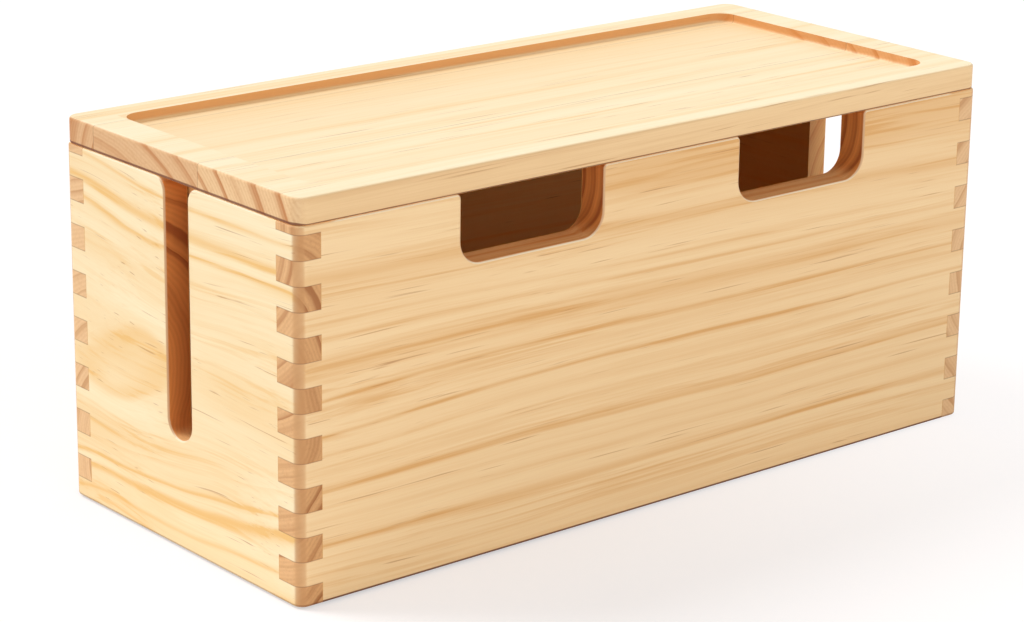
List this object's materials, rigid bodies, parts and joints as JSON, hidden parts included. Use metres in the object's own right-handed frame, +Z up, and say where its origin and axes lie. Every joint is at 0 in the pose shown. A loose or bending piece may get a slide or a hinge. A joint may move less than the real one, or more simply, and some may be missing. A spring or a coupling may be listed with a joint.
{
  "type": "cable management box",
  "caption": "Long pine box with box-jointed corners, cable notches in its front, a tall cable slot in each end, and a loose lid with a shallow tray in its top.",
  "frame": {"origin": "on the surface that the box stands on, under the middle of the box", "axes": "+X along the box, to the right seen from the notched front; -Y the notched front; +Z up, the way the lid lifts"},
  "size_m": [0.37, 0.16, 0.1638],
  "materials": {
    "pine_board": "satin",
    "pine_lid": "satin",
    "pine_batten": "matte",
    "birch_plywood": "matte",
    "pad_rubber": "matte",
    "screw_steel": "satin"
  },
  "bodies": {
    "box": {"front_wall": "pine_board", "back_wall": "pine_board", "left_end": "pine_board", "right_end": "pine_board", "floor_panel": "birch_plywood", "pad_front_left": "pad_rubber", "pad_front_right": "pad_rubber", "pad_back_left": "pad_rubber", "pad_back_right": "pad_rubber"},
    "lid": {"lid_front_stave": "pine_lid", "lid_middle_stave": "pine_lid", "lid_back_stave": "pine_lid", "lid_batten_left": "pine_batten", "lid_batten_right": "pine_batten", "lid_screws": "screw_steel"}
  },
  "joints": [
    {"name": "lid_lift", "type": "slide", "parent": "box", "child": "lid", "axis": [0, 0, 1], "range_m": [0, 0.06]}
  ]
}
